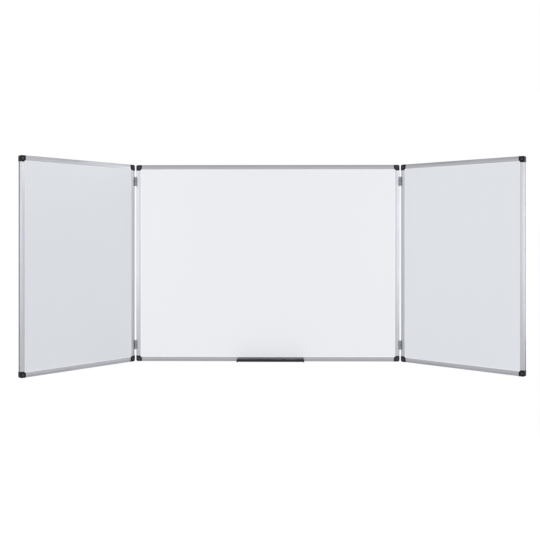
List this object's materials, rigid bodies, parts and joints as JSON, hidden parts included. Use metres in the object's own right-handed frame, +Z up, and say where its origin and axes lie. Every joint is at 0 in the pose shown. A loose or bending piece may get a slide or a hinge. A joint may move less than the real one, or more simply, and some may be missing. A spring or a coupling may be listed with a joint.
{
  "type": "folding whiteboard",
  "caption": "Wall-hung whiteboard in an aluminium frame with two double-sided wings on side hinges and a clip-on pen tray under the lower rail.",
  "frame": {"origin": "centre of the four wall screws in the centre board's corner mouldings, on the plane of the wall", "axes": "+Z up, +X to the right of someone facing the board, +Y into the wall, so the writing side faces -Y"},
  "size_m": [2.061, 0.483, 0.9042],
  "materials": {
    "anodised_aluminium": "satin",
    "lacquered_steel": "gloss",
    "galvanised_steel": "satin",
    "honeycomb_board": "matte",
    "black_plastic": "satin",
    "charcoal_plastic": "satin",
    "zinc_plated_steel": "satin",
    "steel_fasteners": "satin"
  },
  "bodies": {
    "centre": {"centre_backing_sheet": "galvanised_steel", "centre_bottom_rail": "anodised_aluminium", "centre_core": "honeycomb_board", "centre_corner_bottom_left": "black_plastic", "centre_corner_bottom_right": "black_plastic", "centre_corner_caps": "black_plastic", "centre_corner_top_left": "black_plastic", "centre_corner_top_right": "black_plastic", "centre_grub_screws": "steel_fasteners", "centre_hinge_screws": "steel_fasteners", "centre_left_stile": "anodised_aluminium", "centre_nut_strips": "steel_fasteners", "centre_right_stile": "anodised_aluminium", "centre_top_rail": "anodised_aluminium", "centre_writing_sheet": "lacquered_steel", "left_lower_hinge_fixed_leaf": "zinc_plated_steel", "left_lower_hinge_pin": "zinc_plated_steel", "left_upper_hinge_fixed_leaf": "zinc_plated_steel", "left_upper_hinge_pin": "zinc_plated_steel", "right_lower_hinge_fixed_leaf": "zinc_plated_steel", "right_lower_hinge_pin": "zinc_plated_steel", "right_upper_hinge_fixed_leaf": "zinc_plated_steel", "right_upper_hinge_pin": "zinc_plated_steel"},
    "left_wing": {"left_lower_hinge_wing_leaf": "zinc_plated_steel", "left_upper_hinge_wing_leaf": "zinc_plated_steel", "left_wing_bottom_rail": "anodised_aluminium", "left_wing_core": "honeycomb_board", "left_wing_corner_bottom_left": "black_plastic", "left_wing_corner_bottom_right": "black_plastic", "left_wing_corner_caps": "black_plastic", "left_wing_corner_top_left": "black_plastic", "left_wing_corner_top_right": "black_plastic", "left_wing_grub_screws": "steel_fasteners", "left_wing_hinge_screws": "steel_fasteners", "left_wing_hinge_stile": "anodised_aluminium", "left_wing_inner_sheet": "lacquered_steel", "left_wing_nut_strips": "steel_fasteners", "left_wing_outer_sheet": "lacquered_steel", "left_wing_outer_stile": "anodised_aluminium", "left_wing_top_rail": "anodised_aluminium"},
    "right_wing": {"right_lower_hinge_wing_leaf": "zinc_plated_steel", "right_upper_hinge_wing_leaf": "zinc_plated_steel", "right_wing_bottom_rail": "anodised_aluminium", "right_wing_core": "honeycomb_board", "right_wing_corner_bottom_left": "black_plastic", "right_wing_corner_bottom_right": "black_plastic", "right_wing_corner_caps": "black_plastic", "right_wing_corner_top_left": "black_plastic", "right_wing_corner_top_right": "black_plastic", "right_wing_grub_screws": "steel_fasteners", "right_wing_hinge_screws": "steel_fasteners", "right_wing_hinge_stile": "anodised_aluminium", "right_wing_inner_sheet": "lacquered_steel", "right_wing_nut_strips": "steel_fasteners", "right_wing_outer_sheet": "lacquered_steel", "right_wing_outer_stile": "anodised_aluminium", "right_wing_top_rail": "anodised_aluminium"},
    "pen_tray": {"pen_tray_left_end": "charcoal_plastic", "pen_tray_right_end": "charcoal_plastic", "pen_tray_scoop": "charcoal_plastic"}
  },
  "joints": [
    {"name": "left_wing_swing", "type": "hinge", "parent": "centre", "child": "left_wing", "pos_m": [-0.605, -0.0185, 0], "axis": [0, 0, 1], "range_deg": [-50.8, 122.5]},
    {"name": "right_wing_swing", "type": "hinge", "parent": "centre", "child": "right_wing", "pos_m": [0.605, -0.0185, 0], "axis": [0, 0, -1], "range_deg": [-42.4, 130.5]},
    {"name": "tray_unclip", "type": "slide", "parent": "centre", "child": "pen_tray", "axis": [0, 0, -1], "range_m": [0, 0.03]}
  ]
}
